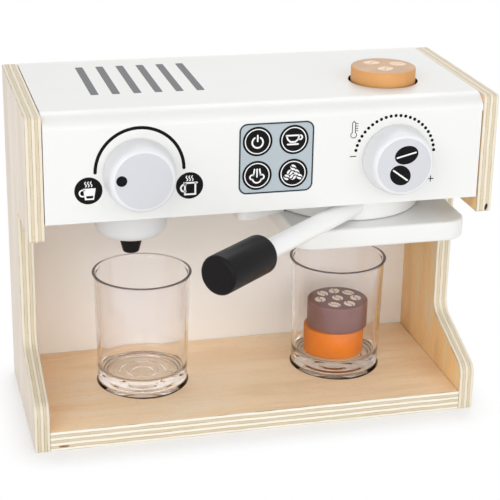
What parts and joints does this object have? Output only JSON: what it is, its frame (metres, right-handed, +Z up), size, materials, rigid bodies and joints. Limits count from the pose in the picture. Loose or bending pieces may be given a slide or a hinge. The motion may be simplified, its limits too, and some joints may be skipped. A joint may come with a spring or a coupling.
{
  "type": "toy coffee maker",
  "caption": "Toy coffee maker: plywood cabinet with a white head, turning dials, a spout, a swinging portafilter, clear cups and coffee discs that lift out.",
  "frame": {"origin": "middle of the cabinet's underside, on the surface that it stands on", "axes": "+X to the right seen from the front, +Y towards the back, +Z up"},
  "size_m": [0.27, 0.1963, 0.2103],
  "materials": {
    "birch": "oiled birch plywood, satin",
    "white_lacquer": "white lacquer on wood board, satin",
    "grey_lacquer": "pale grey lacquer on turned wood, satin",
    "black_lacquer": "black lacquer on turned wood, satin",
    "beech": "raw fluted beech dowel",
    "clear_plastic": "clear moulded plastic, polished",
    "orange_paint": "painted wood, satin",
    "brown_paint": "painted wood, satin",
    "caramel_paint": "painted wood, satin",
    "zinc_steel": "zinc-plated steel"
  },
  "bodies": {
    "cabinet": {"left_side_panel": "birch", "right_side_panel": "birch", "base_board": "birch", "back_panel": "white_lacquer", "back_screw_1": "zinc_steel", "back_screw_2": "zinc_steel", "back_screw_3": "zinc_steel", "back_screw_4": "zinc_steel", "back_screw_5": "zinc_steel", "back_screw_6": "zinc_steel", "head_front_panel": "white_lacquer", "head_top_panel": "white_lacquer", "disc_rest": "white_lacquer", "head_floor": "white_lacquer", "guide_board": "white_lacquer", "portafilter_shelf": "white_lacquer", "shelf_screw_1": "zinc_steel", "shelf_screw_2": "zinc_steel", "shelf_screw_3": "zinc_steel", "guide_screw_1": "zinc_steel", "guide_screw_2": "zinc_steel", "base_dowel_left_1": "beech", "base_dowel_left_2": "beech", "base_dowel_right_1": "beech", "base_dowel_right_2": "beech", "floor_dowel_left_1": "beech", "floor_dowel_left_2": "beech", "floor_dowel_right_1": "beech", "floor_dowel_right_2": "beech", "top_dowel_left_1": "beech", "top_dowel_left_2": "beech", "top_dowel_right_1": "beech", "top_dowel_right_2": "beech", "left_knob_washer": "zinc_steel", "right_knob_washer": "zinc_steel", "spout_bowl": "white_lacquer", "spout_nozzle": "black_lacquer", "spout_screw": "zinc_steel"},
    "left_dial": {"left_knob": "grey_lacquer", "left_knob_screw": "zinc_steel"},
    "right_dial": {"right_knob": "grey_lacquer", "right_knob_screw": "zinc_steel"},
    "portafilter": {"portafilter_disc": "white_lacquer", "portafilter_stem": "white_lacquer", "portafilter_grip": "black_lacquer"},
    "cup_left": {"left_cup": "clear_plastic"},
    "cup_right": {"right_cup": "clear_plastic"},
    "orange_disc": {"coffee_disc_orange": "orange_paint"},
    "brown_disc": {"coffee_disc_brown": "brown_paint"},
    "caramel_disc": {"coffee_disc_caramel": "caramel_paint"}
  },
  "joints": [
    {"name": "left_dial_turn", "type": "hinge", "parent": "cabinet", "child": "left_dial", "pos_m": [-0.074, -0.0585, 0.1678], "axis": [0, 1, 0], "continuous": true},
    {"name": "right_dial_turn", "type": "hinge", "parent": "cabinet", "child": "right_dial", "pos_m": [0.074, -0.0585, 0.1678], "axis": [0, 1, 0], "continuous": true},
    {"name": "portafilter_turn", "type": "hinge", "parent": "cabinet", "child": "portafilter", "pos_m": [0.0636, 0.0045, 0.13255], "axis": [0, 0, 1], "range_deg": [-16, 70]},
    {"name": "left_cup_lift", "type": "slide", "parent": "cabinet", "child": "cup_left", "axis": [0, 0, 1], "range_m": [0, 0.02]},
    {"name": "right_cup_lift", "type": "slide", "parent": "cabinet", "child": "cup_right", "axis": [0, 0, 1], "range_m": [0, 0.006]},
    {"name": "orange_disc_lift", "type": "slide", "parent": "cup_right", "child": "orange_disc", "axis": [0, 0, 1], "range_m": [0, 0.003]},
    {"name": "brown_disc_lift", "type": "slide", "parent": "orange_disc", "child": "brown_disc", "axis": [0, 0, 1], "range_m": [0, 0.046]},
    {"name": "caramel_disc_lift", "type": "slide", "parent": "cabinet", "child": "caramel_disc", "axis": [0, 0, 1], "range_m": [0, 0.03]}
  ]
}
